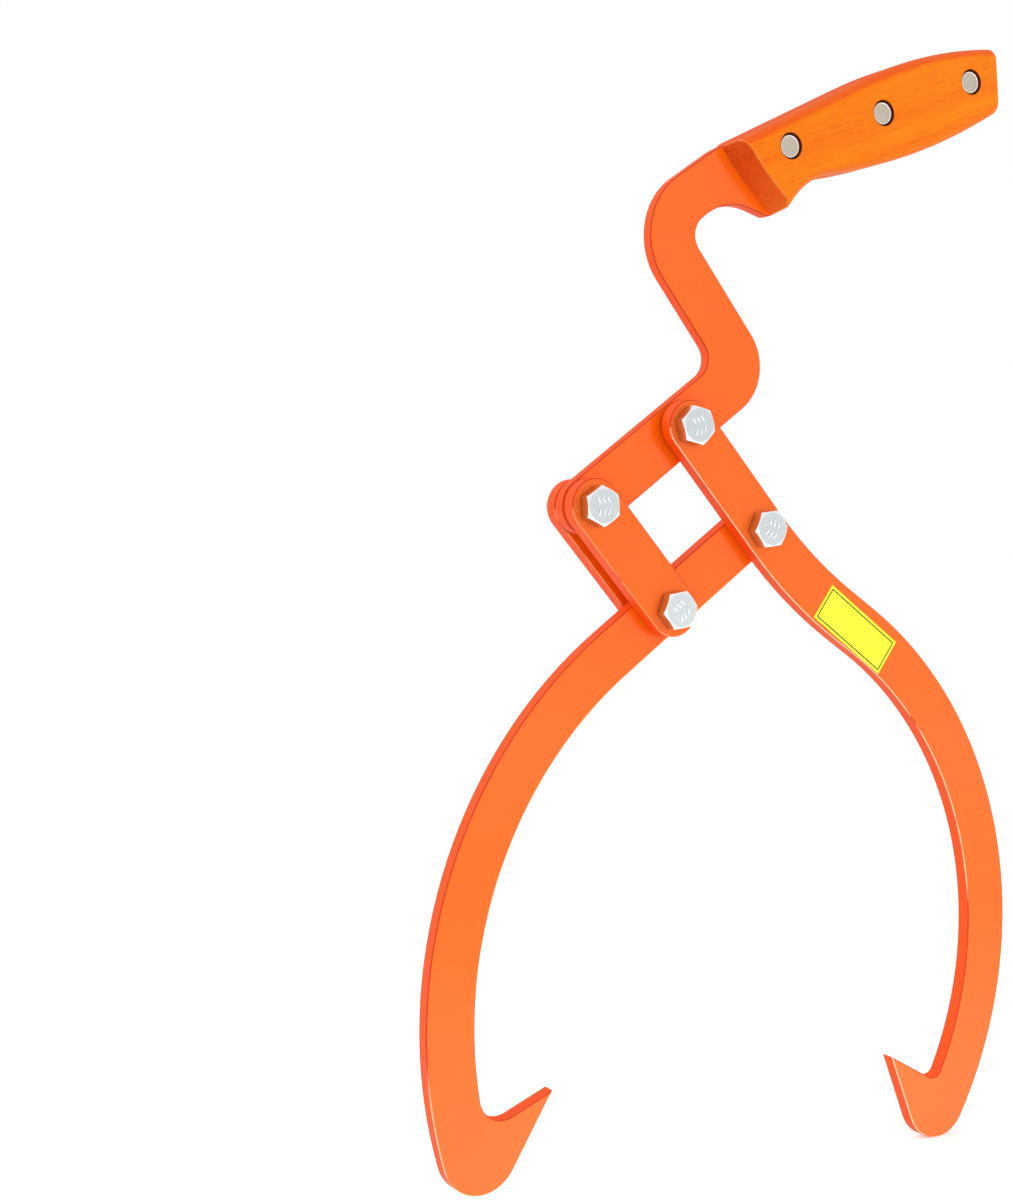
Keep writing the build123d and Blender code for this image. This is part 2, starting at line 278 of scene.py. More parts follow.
def fibres(tree, spot):
    drawn = add_node(tree, "ShaderNodeMapping", {"Vector": spot, "Scale": streak_draw})
    bands = add_node(tree, "ShaderNodeTexNoise", {
        "Vector": drawn.outputs[0], "Scale": 1 / band_wide, "Detail": 3.0})
    streaks = add_node(tree, "ShaderNodeTexNoise", {
        "Vector": drawn.outputs[0], "Scale": 1 / streak_wide, "Detail": 4.0, "Roughness": 0.6})
    tone = add_node(tree, "ShaderNodeMix", {
        "Factor": streak_share, number_a: bands.outputs[0], number_b: streaks.outputs[0]})
    spread = add_node(tree, "ShaderNodeMapRange", {
        "Value": tone.outputs[0], "From Min": stain_from, "From Max": stain_full})
    stain = add_node(tree, "ShaderNodeMix", {
        "Factor": spread.outputs[0], colour_a: linear(stain_deep), colour_b: linear(stain_light)},
        data_type="RGBA")
    short = add_node(tree, "ShaderNodeMapping", {"Vector": spot, "Scale": pore_draw})
    pores = add_node(tree, "ShaderNodeTexNoise", {
        "Vector": short.outputs[0], "Scale": 1 / pore_wide, "Detail": 1.0})
    dash = add_node(tree, "ShaderNodeMapRange", {
        "Value": pores.outputs[0], "From Min": pore_from, "From Max": pore_full,
        "To Max": pore_cover})
    figured = add_node(tree, "ShaderNodeMix", {
        "Factor": dash.outputs[0], colour_a: stain.outputs[mixed_colour],
        colour_b: linear(pore_dark)}, data_type="RGBA")
    return figured.outputs[mixed_colour], streaks.outputs[0], pores.outputs[0]


pore_long = pore_wide / pore_draw[0]
print("pores", round(pore_wide / mm, 2), "mm wide and", round(pore_long / mm, 1), "mm long")


# %% [markdown]
# Varnished wood: upper edge and cut ends
#
# The rounded upper edge is painted a deeper red, as painted shade. Where a scale is cut across, the stain
# soaks into the end grain and the wood turns dark red, darker towards the top, and the edge of that cut gets
# a pale painted highlight in patches. All this could be brushed on by hand, but on the axes of the fibres
# the normal already finds these places: it points along the fibres on a cut end, and up on the upper edge.

# %% Painted shade on the upper edge
# Painted shade: upward-facing parts of the rounded edge turn a deeper red
top_shade_red = "#ea4408"
bend_from, bend_full = 0.995, 0.86
upper_from, upper_full, upper_cover = -0.1, 0.4, 0.6


def shade_top_edge(tree, facing, colour):
    outward = add_node(tree, "ShaderNodeMath", {0: facing.outputs["Y"]}, operation="ABSOLUTE")
    bend = add_node(tree, "ShaderNodeMapRange", {
        "Value": outward.outputs[0], "From Min": bend_from, "From Max": bend_full})
    upper = add_node(tree, "ShaderNodeMapRange", {
        "Value": facing.outputs["Z"], "From Min": upper_from, "From Max": upper_full,
        "To Max": upper_cover})
    top_shade = add_node(tree, "ShaderNodeMath", {
        0: bend.outputs[0], 1: upper.outputs[0]}, operation="MULTIPLY")
    edged = add_node(tree, "ShaderNodeMix", {
        "Factor": top_shade.outputs[0], colour_a: colour, colour_b: linear(top_shade_red)},
        data_type="RGBA")
    return edged.outputs[mixed_colour]


print("upper edge", top_shade_red, "at most", upper_cover, "over the streaks")

# %% Dark end grain
soak_dark, soak_red, speck_light = "#ba3408", "#ed5214", "#f96424"
# Dark red end grain, darker towards the top
soak_top, soak_low = 12.0 * mm, -24.0 * mm
speck_size = 0.9 * mm
speck_from, speck_full, speck_cover = 0.35, 0.65, 0.5
end_from, end_full, end_cover = 0.7, 0.9, 0.9


def end_grain(tree, spot, run, across, colour):
    mottle = add_node(tree, "ShaderNodeTexNoise", {
        "Vector": spot, "Scale": 1 / speck_size, "Detail": 3.0})
    speck = add_node(tree, "ShaderNodeMapRange", {
        "Value": mottle.outputs[0], "From Min": speck_from, "From Max": speck_full,
        "To Max": speck_cover})
    drop = add_node(tree, "ShaderNodeMapRange", {
        "Value": run.outputs["Z"], "From Min": soak_top, "From Max": soak_low})
    soak = add_node(tree, "ShaderNodeMix", {
        "Factor": drop.outputs[0], colour_a: linear(soak_dark), colour_b: linear(soak_red)},
        data_type="RGBA")
    cut = add_node(tree, "ShaderNodeMix", {
        "Factor": speck.outputs[0], colour_a: soak.outputs[mixed_colour],
        colour_b: linear(speck_light)}, data_type="RGBA")
    end = add_node(tree, "ShaderNodeMapRange", {
        "Value": across, "From Min": end_from, "From Max": end_full, "To Max": end_cover})
    soaked = add_node(tree, "ShaderNodeMix", {
        "Factor": end.outputs[0], colour_a: colour, colour_b: cut.outputs[mixed_colour]},
        data_type="RGBA")
    return soaked.outputs[mixed_colour]


print("end grain darkens over", round((soak_top - soak_low) / mm), "mm")

# %% Painted highlight on the edge of the cut
# Painted highlight: pale patches on the rounded edge of each cut end
cut_highlight_colour = "#ffa468"
cut_lean, cut_band = 0.55, 0.25
bare_from, bare_full, bare_cover = 0.45, 0.6, 0.6


def lit_cut_edge(tree, across, pores, colour):
    cut_edge_band = add_node(tree, "ShaderNodeMath", {
        0: across, 1: cut_lean, 2: cut_band}, operation="COMPARE")
    highlighted = add_node(tree, "ShaderNodeMapRange", {
        "Value": pores, "From Min": bare_from, "From Max": bare_full, "To Max": bare_cover})
    cut_highlight = add_node(tree, "ShaderNodeMath", {
        0: cut_edge_band.outputs[0], 1: highlighted.outputs[0]}, operation="MULTIPLY")
    cut_lit = add_node(tree, "ShaderNodeMix", {
        "Factor": cut_highlight.outputs[0], colour_a: colour, colour_b: linear(cut_highlight_colour)},
        data_type="RGBA")
    return cut_lit.outputs[mixed_colour]


print("rubbed edge", cut_highlight_colour, "at most", bare_cover, "over the end grain")


# %% [markdown]
# Varnished wood: rivet seats
#
# A dark ring is painted round each head in the rivet seats, as painted shade in the gap round the head.
# Three circles could be placed one by one, but the rivets stand in line along the fibres, one every 47 mm,
# so wrapping that length gives all three rings from one circle. The last cell puts the whole finish
# together.

# %% Rings in the rivet seats
rivet_pitch = 47.0 * mm
seat_radius, seat_blur = 4.9 * mm, 0.3 * mm
# Painted shade: a dark ring in the gap round each rivet head
seat_shade_dark = "#5a2206"
seat_cover = 0.85


def shaded_seats(tree, run, colour):
    wrapped = add_node(tree, "ShaderNodeMath", {
        0: run.outputs["X"], 1: rivet_pitch / 2, 2: -rivet_pitch / 2}, operation="WRAP")
    circle = add_node(tree, "ShaderNodeCombineXYZ", {
        "X": wrapped.outputs[0], "Z": run.outputs["Z"]})
    reach = add_node(tree, "ShaderNodeVectorMath", {0: circle.outputs[0]}, operation="LENGTH")
    ring = add_node(tree, "ShaderNodeMapRange", {
        "Value": reach.outputs["Value"], "From Min": seat_radius + seat_blur,
        "From Max": seat_radius, "To Max": seat_cover})
    ringed = add_node(tree, "ShaderNodeMix", {
        "Factor": ring.outputs[0], colour_a: colour, colour_b: linear(seat_shade_dark)},
        data_type="RGBA")
    return ringed.outputs[mixed_colour]


print("rings", round(2 * seat_radius / mm, 1), "mm across, every", round(rivet_pitch / mm), "mm")

# %% Stained and varnished hardwood
handle_heading = radians(21.0)
grain_strength, grain_depth = 0.25, 0.05 * mm


def varnished_wood():
    # Satin varnish over stain: warm streaks along the fibre, dull dark red where it is cut across
    finish, tree, shader = new_finish("varnished_hardwood_orange", {
        "Roughness": 0.45, "IOR": 1.5, "Specular IOR Level": 0.12})
    place = add_node(tree, "ShaderNodeTexCoord")
    along = add_node(tree, "ShaderNodeMapping", {
        "Vector": place.outputs["Object"], "Rotation": (0.0, handle_heading, 0.0)})
    way = add_node(tree, "ShaderNodeMapping", {
        "Vector": place.outputs["Normal"], "Rotation": (0.0, handle_heading, 0.0)},
        vector_type="NORMAL")
    spot = along.outputs[0]
    run = add_node(tree, "ShaderNodeSeparateXYZ", {0: spot})
    facing = add_node(tree, "ShaderNodeSeparateXYZ", {0: way.outputs[0]})
    across = add_node(tree, "ShaderNodeMath", {0: facing.outputs["X"]}, operation="ABSOLUTE")
    colour, streaks, pores = fibres(tree, spot)
    colour = shade_top_edge(tree, facing, colour)
    colour = end_grain(tree, spot, run, across.outputs[0], colour)
    colour = lit_cut_edge(tree, across.outputs[0], pores, colour)
    colour = shaded_seats(tree, run, colour)
    tree.links.new(colour, shader.inputs["Base Color"])
    grain = add_node(tree, "ShaderNodeBump", {
        "Height": streaks, "Strength": grain_strength, "Distance": grain_depth})
    tree.links.new(grain.outputs[0], shader.inputs["Normal"])
    return finish


wood = varnished_wood()
print("made", wood.name, "from", len(wood.node_tree.nodes), "nodes")


# %% [markdown]
# Zinc plate
#
# The bolts and nuts are steel with a bright zinc plating. Under a lens its faces are a fine crystal sparkle,
# so both roughness and tone change from grain to grain, while the turned rims and the flanks are smooth. One
# even grey would do from afar, but these heads are the brightest things on the tool, so the normal tells
# faces, rims and flanks apart. The rims are painted paler than the faces and the raised bars near white,
# both as painted highlights.

# %% Tone of the zinc
face_dark, face_bright = "#c6ced1", "#e7ecec"
# Painted highlights: the rim is paler than the faces, and the raised bars are near white
rim_highlight, flank_grey, bar_highlight = "#f6f9fa", "#dce0e2", "#fbfcfc"
flank_from, flank_full = 0.6, 0.3
# The tops of the raised bars, along Y
bar_foot, bar_top = -14.5 * mm, -14.65 * mm


def zinc_tone(tree, spot, sparkle, square, turned):
    face = add_node(tree, "ShaderNodeMix", {
        "Factor": sparkle, colour_a: linear(face_dark), colour_b: linear(face_bright)},
        data_type="RGBA")
    rimmed = add_node(tree, "ShaderNodeMix", {
        "Factor": turned, colour_a: face.outputs[mixed_colour], colour_b: linear(rim_highlight)},
        data_type="RGBA")
    flank = add_node(tree, "ShaderNodeMapRange", {
        "Value": square, "From Min": flank_from, "From Max": flank_full})
    flanked = add_node(tree, "ShaderNodeMix", {
        "Factor": flank.outputs[0], colour_a: rimmed.outputs[mixed_colour],
        colour_b: linear(flank_grey)}, data_type="RGBA")
    reach = add_node(tree, "ShaderNodeSeparateXYZ", {0: spot})
    # Painted highlight on the raised bars
    proud = add_node(tree, "ShaderNodeMapRange", {
        "Value": reach.outputs["Y"], "From Min": bar_foot, "From Max": bar_top})
    highlighted = add_node(tree, "ShaderNodeMix", {
        "Factor": proud.outputs[0], colour_a: flanked.outputs[mixed_colour],
        colour_b: linear(bar_highlight)}, data_type="RGBA")
    return highlighted.outputs[mixed_colour]


print("zinc faces from", face_dark, "to", face_bright)

# %% Bright zinc plate
# Real crystals are finer than a tenth of a millimetre, so they are drawn coarser, to show
crystal_size, crystal_depth = 0.5 * mm, 0.03 * mm
crystal_strength = 0.14
face_square, rim_square = 0.98, 0.9
rough_from, rough_full = 0.3, 0.7
bright_rough, dull_rough, rim_rough = 0.18, 0.34, 0.14


def zinc_plate():
    # Bright zinc: a pale, faintly blue sparkle on the faces, clean mirrors on the rim and flanks
    finish, tree, shader = new_finish("zinc_plated_steel", {"Metallic": 1.0})
    place = add_node(tree, "ShaderNodeTexCoord")
    spot = place.outputs["Object"]
    sparkle = add_node(tree, "ShaderNodeTexNoise", {
        "Vector": spot, "Scale": 1 / crystal_size, "Detail": 2.0})
    way = add_node(tree, "ShaderNodeSeparateXYZ", {0: place.outputs["Normal"]})
    square = add_node(tree, "ShaderNodeMath", {0: way.outputs["Y"]}, operation="ABSOLUTE")
    turned = add_node(tree, "ShaderNodeMapRange", {
        "Value": square.outputs[0], "From Min": face_square, "From Max": rim_square})
    tone = zinc_tone(tree, spot, sparkle.outputs[0], square.outputs[0], turned.outputs[0])
    tree.links.new(tone, shader.inputs["Base Color"])
    grainy = add_node(tree, "ShaderNodeMapRange", {
        "Value": sparkle.outputs[0], "From Min": rough_from, "From Max": rough_full,
        "To Min": bright_rough, "To Max": dull_rough})
    rough = add_node(tree, "ShaderNodeMix", {
        "Factor": turned.outputs[0], number_a: grainy.outputs[0], number_b: rim_rough})
    tree.links.new(rough.outputs[0], shader.inputs["Roughness"])
    flat = add_node(tree, "ShaderNodeMapRange", {
        "Value": square.outputs[0], "From Min": rim_square, "From Max": face_square,
        "To Max": crystal_strength})
    crystals = add_node(tree, "ShaderNodeBump", {
        "Height": sparkle.outputs[0], "Strength": flat.outputs[0], "Distance": crystal_depth})
    tree.links.new(crystals.outputs[0], shader.inputs["Normal"])
    return finish


zinc = zinc_plate()
print("made", zinc.name, "with crystals of", crystal_size / mm, "mm")


# %% [markdown]
# Aluminium and nylon
#
# The rivet heads are aluminium, faced flat in a lathe: a dull face inside a smooth rim, which is painted
# near white as a painted highlight. The rings in the lock nuts are plain nylon, a little cloudy. Both could
# be one flat colour, but a slow change of tone keeps such small pieces from looking printed on.

# %% Faced aluminium
# Tool marks are finer than this; they are drawn as flecks coarse enough to show
fleck_size = 0.6 * mm
# The rim colour is a painted highlight
alu_dark, alu_light, alu_rim_highlight = "#c2b6a5", "#dacebd", "#fdfaf4"
alu_face_square, alu_rim_square = 0.99, 0.93
alu_face_rough, alu_rim_rough = 0.42, 0.15


def faced_aluminium():
    # Faced flat in a lathe: a dull grey face inside a smooth cut rim, painted near white as a painted
    # highlight
    finish, tree, shader = new_finish("faced_aluminium", {"Metallic": 1.0})
    place = add_node(tree, "ShaderNodeTexCoord")
    fleck = add_node(tree, "ShaderNodeTexNoise", {
        "Vector": place.outputs["Object"], "Scale": 1 / fleck_size, "Detail": 3.0})
    face = add_node(tree, "ShaderNodeMix", {
        "Factor": fleck.outputs[0], colour_a: linear(alu_dark), colour_b: linear(alu_light)},
        data_type="RGBA")
    way = add_node(tree, "ShaderNodeSeparateXYZ", {0: place.outputs["Normal"]})
    square = add_node(tree, "ShaderNodeMath", {0: way.outputs["Y"]}, operation="ABSOLUTE")
    rim = add_node(tree, "ShaderNodeMapRange", {
        "Value": square.outputs[0], "From Min": alu_face_square, "From Max": alu_rim_square})
    tone = add_node(tree, "ShaderNodeMix", {
        "Factor": rim.outputs[0], colour_a: face.outputs[mixed_colour], colour_b: linear(alu_rim_highlight)},
        data_type="RGBA")
    tree.links.new(tone.outputs[mixed_colour], shader.inputs["Base Color"])
    rough = add_node(tree, "ShaderNodeMapRange", {
        "Value": rim.outputs[0], "To Min": alu_face_rough, "To Max": alu_rim_rough})
    tree.links.new(rough.outputs[0], shader.inputs["Roughness"])
    return finish


aluminium = faced_aluminium()
print("made", aluminium.name)

# %% Natural nylon
nylon_cloud = 1.5 * mm
nylon_dull, nylon_light = "#ccd2cc", "#e2e6e0"


def natural_nylon():
    # Moulded nylon: a milky, slightly cloudy white with a dull sheen
    finish, tree, shader = new_finish("natural_nylon", {"Roughness": 0.5, "IOR": 1.53})
    place = add_node(tree, "ShaderNodeTexCoord")
    cloud = add_node(tree, "ShaderNodeTexNoise", {
        "Vector": place.outputs["Object"], "Scale": 1 / nylon_cloud})
    tone = add_node(tree, "ShaderNodeMix", {
        "Factor": cloud.outputs[0], colour_a: linear(nylon_dull), colour_b: linear(nylon_light)},
        data_type="RGBA")
    tree.links.new(tone.outputs[mixed_colour], shader.inputs["Base Color"])
    return finish


nylon = natural_nylon()
print("made", nylon.name)


# %% [markdown]
# Finishes on the frame
#
# Each node of the frame names its material in the record, so a table from those names to the finishes
# dresses all of them. The jaws and links take coats with their own painted highlight on the down-facing
# edges, which the record doesn't tell apart.

# %% Dress the nodes
finishes = {
    "orange_coat": coat,
    "varnished_wood": wood,
    "zinc_steel": zinc,
    "rivet_metal": aluminium,
    "nylon": nylon,
}
for part in frame["record"]["subparts"]:
    nodes[part["node"]].material_slots[0].material = finishes[part["material_slot"]]
for jaw in ("left_jaw", "right_jaw"):
    nodes[jaw].material_slots[0].material = strong_highlight_coat
for link in ("front_link", "back_link"):
    nodes[link].material_slots[0].material = faint_highlight_coat


# %% [markdown]
# Steps of modelling
#
# New pieces are modelled as at the screen: add a primitive, work on it in edit mode, then apply
# modifiers. These helpers keep each step to one line: select one piece, apply a modifier to it,
# join or cut it with another, copy it, and set it down in its place. An operator acts on all that
# is selected, so each of them first deselects the rest.

# %% Helpers for modelling
def select_only(piece):
    bpy.ops.object.select_all(action="DESELECT")
    piece.select_set(True)
    bpy.context.view_layer.objects.active = piece


def apply_modifier(piece, kind, **settings):
    select_only(piece)
    modifier = piece.modifiers.new(kind, kind)
    for name, value in settings.items():
        setattr(modifier, name, value)
    bpy.ops.object.modifier_apply(modifier=modifier.name)


def combine(piece, tool, operation):
    apply_modifier(piece, "BOOLEAN", object=tool, operation=operation, solver="EXACT")
    bpy.data.objects.remove(tool)


def copy_of(piece):
    select_only(piece)
    bpy.ops.object.duplicate(linked=False)
    return bpy.context.object


def set_down(piece, turn, point):
    # Turned and moved into place, with the place kept in its mesh
    select_only(piece)
    piece.rotation_euler = turn
    piece.location = point
    bpy.ops.object.transform_apply(location=True, rotation=True, scale=True)


print(len(bpy.context.selected_objects), "objects are selected before the first step")


# %% [markdown]
# Prisms and turned pieces
#
# Hexagons and plain shanks start from a cylinder with as many sides as they need. What is round on
# these tongs was turned, so it is turned here too: an outline is drawn point by point and swept
# round the Z axis, as on a lathe. Spin could sweep it, but the Screw modifier can also rise as it
# turns, which gives a screw thread, because after one full turn each tooth lands on the next.

# %% Prism and lathe
weld = 0.001 * mm


def prism(sides, radius, low, high):
    bpy.ops.object.select_all(action="DESELECT")
    bpy.ops.mesh.primitive_cylinder_add(
        vertices=sides, radius=radius, depth=high - low, location=(0, 0, (low + high) / 2))
    bpy.ops.object.transform_apply(location=True, rotation=True, scale=True)
    return bpy.context.object


def lathe(outline, steps, rise=0.0):
    # The outline is a list of (radius, height); a plane is melted to one point, which then draws it
    bpy.ops.object.select_all(action="DESELECT")
    bpy.ops.mesh.primitive_plane_add(size=mm)
    bpy.ops.object.mode_set(mode="EDIT")
    bpy.ops.mesh.select_mode(type="VERT")
    bpy.ops.mesh.select_all(action="SELECT")
    bpy.ops.mesh.merge(type="CENTER")
    bpy.ops.transform.translate(value=(outline[0][0], 0, outline[0][1]))
    for (radius, height), (next_radius, next_height) in zip(outline, outline[1:]):
        step = (next_radius - radius, 0, next_height - height)
        bpy.ops.mesh.extrude_region_move(TRANSFORM_OT_translate={"value": step})
    bpy.ops.object.mode_set(mode="OBJECT")
    piece = bpy.context.object
    apply_modifier(piece, "SCREW", angle=2 * pi, screw_offset=rise, steps=steps, render_steps=steps)
    # Points on the axis are merged, open ends closed, and all faces turned outwards
    bpy.ops.object.mode_set(mode="EDIT")
    bpy.ops.mesh.select_all(action="SELECT")
    bpy.ops.mesh.remove_doubles(threshold=weld)
    bpy.ops.mesh.select_all(action="DESELECT")
    bpy.ops.mesh.select_mode(type="EDGE")
    bpy.ops.mesh.select_non_manifold()
    bpy.ops.mesh.edge_face_add()
    bpy.ops.mesh.select_all(action="SELECT")
    bpy.ops.mesh.normals_make_consistent(inside=False)
    bpy.ops.object.mode_set(mode="OBJECT")
    return piece


print("points nearer than", round(weld / mm, 4), "mm are merged")


# %% [markdown]
# Giving a piece to the frame
#
# A finished piece gets its name, its finish and smooth shading, and then rides on the body that it
# moves with. Shading all of it smooth would blur the corners of a hexagon, so only faces that meet
# at a small angle are blended.

# %% Settle a piece
smooth_angle = 25


def settle(piece, name, finish, body):
    piece.name = name
    if finish:
        piece.data.materials.append(finish)
    select_only(piece)
    bpy.ops.object.shade_smooth_by_angle(angle=radians(smooth_angle))
    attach(piece, body)
    print("made", name, len(piece.data.polygons), "faces")


print("faces that meet within", smooth_angle, "degrees are blended")


# %% [markdown]
# Pivot bolts: thread
#
# Four M8 hexagon bolts carry the linkage, heads to the front. Their thread, 1.25 mm to a turn,
# shows where the shank stands out of its nut at the back. A row of rings could pass for it from
# afar, but a real thread climbs and runs out at a chamfered tip, so it is turned with a rise and
# then trimmed by the outline of the tip.

# %% Thread, with its tip at zero
bolt_radius, tip_radius = 4.0 * mm, 3.0 * mm
thread_pitch, thread_reach = 1.25 * mm, 12.0 * mm
thread_crest, thread_root = 3.98 * mm, 3.3 * mm
flank_share, crest_share = 0.375, 0.125
thread_steps = 48
# Cutters and joined ends reach this far past the surface that they meet
spare = 1.0 * mm


def thread_end():
    # Four points to a turn: the foot and head of one flank, then of the other
    foot = -thread_reach - thread_pitch
    outline = [(0, foot)]
    while outline[-1][1] < 0:
        turn_foot = foot + thread_pitch * (len(outline) // 4)
        outline += [
            (thread_root, turn_foot),
            (thread_crest, turn_foot + flank_share * thread_pitch),
            (thread_crest, turn_foot + (flank_share + crest_share) * thread_pitch),
            (thread_root, turn_foot + (2 * flank_share + crest_share) * thread_pitch),
        ]
    outline.append((0, outline[-1][1]))
    climb = lathe(outline, thread_steps, thread_pitch)
    wide = bolt_radius + spare
    tip = lathe([
        (0, -thread_reach), (wide, -thread_reach), (wide, tip_radius - bolt_radius - spare),
        (tip_radius, 0), (0, 0)], thread_steps)
    combine(climb, tip, "INTERSECT")
    return climb


thread = thread_end()
print("thread", len(thread.data.polygons), "faces")


# %% [markdown]
# Pivot bolts: head
#
# A head is a hexagon turned down by a 30 degree cone, which leaves the bright scalloped rim. It
# stands on a thin round washer face, so a dark line runs round its foot, and its top carries small
# raised bars, as cold-forged heads do. A bevel could break the rim, but it would follow the six
# straight edges and miss the scallops, so a turned cone cuts them. One bar is modelled and copied
# in two leaning rows.

# %% Head, with its seat at zero
hex_sides, round_sides = 6, 64
hex_flats, half_side = 13.0 * mm, radians(30)
hex_corner = hex_flats / 2 / cos(half_side)
rim_share, rim_angle = 0.94, radians(30)
rim_radius = hex_flats / 2 * rim_share
rim_slope = tan(rim_angle)
head_high, mark_high = 5.3 * mm, 0.3 * mm
head_top = mark_high - head_high + weld
washer_radius, washer_thick = 5.8 * mm, 0.4 * mm
cone_reach, cone_steps = 5 * mm, 96


def plain_head():
    hexagon = prism(hex_sides, hex_corner, head_top, -washer_thick)
    cone = lathe([
        (0, head_top), (rim_radius, head_top),
        (rim_radius + cone_reach, head_top + cone_reach * rim_slope),
        (rim_radius + cone_reach, spare), (0, spare)], cone_steps)
    combine(hexagon, cone, "INTERSECT")
    combine(hexagon, prism(round_sides, washer_radius, -spare, 0), "UNION")
    return hexagon


head = plain_head()
print("head", round(2 * hex_corner / mm, 2), "mm over its corners")

# %% Raised bars on the head
mark_wide, mark_long = 0.7 * mm, 2.3 * mm
mark_rows, mark_step = 2.2 * mm, 1.9 * mm
mark_lean = 20.0
mark_bevel = 0.15 * mm


def raised_bar():
    bpy.ops.object.select_all(action="DESELECT")
    bpy.ops.mesh.primitive_cube_add(size=1, scale=(mark_wide, mark_long, 2 * mark_high))
    bpy.ops.object.transform_apply(location=True, rotation=True, scale=True)
    block = bpy.context.object
    apply_modifier(block, "BEVEL", width=mark_bevel, segments=2)
    return block


first_bar = raised_bar()
for row in (-1, 1):
    for column in (-1, 0, 1):
        bar = copy_of(first_bar)
        lean = (0, 0, radians(row * mark_lean))
        set_down(bar, lean, (column * mark_step, row * mark_rows, head_top))
        combine(head, bar, "UNION")
bpy.data.objects.remove(first_bar)
print("head with its bars", len(head.data.polygons), "faces")


# %% [markdown]
# Pivot bolts: in place
#
# Each bolt is put together upright on the Z axis with its seat at zero, then laid back along +Y at
# its pivot, which is the middle of the plain bolt that it stands for. It could be modelled where it
# lies, but upright it needs no sums. Each head is turned as a spanner happened to leave it.

# %% Four bolts
head_turn = {"top": -16.7, "left": -3.9, "right": 23.0, "bottom": -39.1}
rides = {"top": "handle", "left": "handle", "right": "right_jaw", "bottom": "links"}
quarter_turn = 90


def lay_back(piece, turn, point):
    # From upright to lying along +Y, turned as its real one is, with its seat at the point
    set_down(piece, (radians(-quarter_turn), radians(turn), 0), point)


def front_middle(node):
    low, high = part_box(node)
    return Vector(((low.x + high.x) / 2, low.y, (low.z + high.z) / 2))


def depth(node):
    low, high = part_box(node)
    return high.y - low.y


for where, turn in head_turn.items():
    plain = "pivot_bolt_" + where
    shank_long = depth(plain) - head_high
    bolt = prism(round_sides, bolt_radius, -spare, shank_long - thread_reach + thread_pitch)
    thread_copy = copy_of(thread)
    set_down(thread_copy, (0, 0, 0), (0, 0, shank_long))
    combine(bolt, thread_copy, "UNION")
    combine(bolt, copy_of(head), "UNION")
    lay_back(bolt, turn, front_middle(plain) + Vector((0, head_high, 0)))
    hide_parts(plain)
    settle(bolt, "hex_bolt_" + where, zinc, rides[where])
    print("  ", round(shank_long / mm, 2), "mm under its head")
bpy.data.objects.remove(thread)
bpy.data.objects.remove(head)


# %% [markdown]
# Lock nuts
#
# Behind each pivot sits a lock nut: a hexagon chamfered on both ends, and a round collar rolled
# over at its rim to hold the nylon ring. It could be cut from a hexagon step by step; here one
# outline turned on the lathe gives the bore, both chamfers, the pocket and the rolled rim at once,
# and cutting that ring with a hexagonal prism leaves the finished nut.

# %% One nut, with its seat at zero
nut_high, nut_hex_high = 8.0 * mm, 5.6 * mm
nut_bore, nut_lead = 4.03 * mm, 4.7 * mm
corner_spare = 0.5 * mm
nut_wide = hex_corner + corner_spare
chamfer_high = (nut_wide - rim_radius) * rim_slope
collar_radius, rim_roll = 6.1 * mm, 1.1 * mm
lip_radius, lip_thick = 4.7 * mm, 0.35 * mm
pocket_radius = 5.35 * mm
roll_step = 15


def lock_nut():
    outline = [
        (nut_bore, nut_lead - nut_bore), (nut_lead, 0), (rim_radius, 0), (nut_wide, chamfer_high),
        (nut_wide, nut_hex_high - chamfer_high), (collar_radius, nut_hex_high)]
    for degrees in range(0, quarter_turn + 1, roll_step):
        angle = radians(degrees)
        inward, down = rim_roll * (1 - cos(angle)), rim_roll * (1 - sin(angle))
        outline.append((collar_radius - inward, nut_high - down))
    outline += [
        (lip_radius, nut_high), (lip_radius, nut_high - lip_thick),
        (pocket_radius, nut_high - lip_thick), (pocket_radius, nut_hex_high),
        (nut_bore, nut_hex_high), outline[0]]
    ring = lathe(outline, round_sides)
    combine(ring, prism(hex_sides, hex_corner, -spare, nut_high + spare), "INTERSECT")
    return ring


first_nut = lock_nut()
print("nut", len(first_nut.data.polygons), "faces, chamfer", round(chamfer_high / mm, 2), "mm high")

# %% Four nuts
for where, turn in head_turn.items():
    plain = "lock_nut_" + where
    nut = copy_of(first_nut)
    lay_back(nut, -turn, front_middle(plain))
    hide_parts(plain)
    settle(nut, "ring_lock_nut_" + where, zinc, rides[where])
bpy.data.objects.remove(first_nut)


# %% [markdown]
# Handle rivets
#
# Three two-piece rivets hold the scales: a headed tube from the front and a headed pin from the
# back. They could be cylinders with a bevel, but real ones are turned, so here too: one outline
# gives the dull faced centre, the bright rounded rim round it, and the tube with its blind bore, or
# the pin. One tube and one pin are turned, as long as the plain ones that they stand for, and
# copied to the three holes; the pins lie the other way.

# %% One tube and one pin, with their seats at zero
rivet_radius, rivet_thick = 4.3 * mm, 2.0 * mm
bead_radius, face_dish = 0.32 * mm, 0.16 * mm
bead_start = 150
tube_radius, pin_radius = 2.5 * mm, 1.7 * mm
bore_radius, bore_floor = 1.75 * mm, 4.5 * mm


def rivet_half(shank):
    bead = rivet_radius - bead_radius
    outline = [(0, face_dish - rivet_thick)]
    for degrees in range(bead_start, -1, -roll_step):
        reach = bead_radius * cos(radians(degrees))
        rise = bead_radius * (1 - sin(radians(degrees)))
        outline.append((bead + reach, rise - rivet_thick))
    outline += [(rivet_radius, 0)] + shank
    return lathe(outline, round_sides)


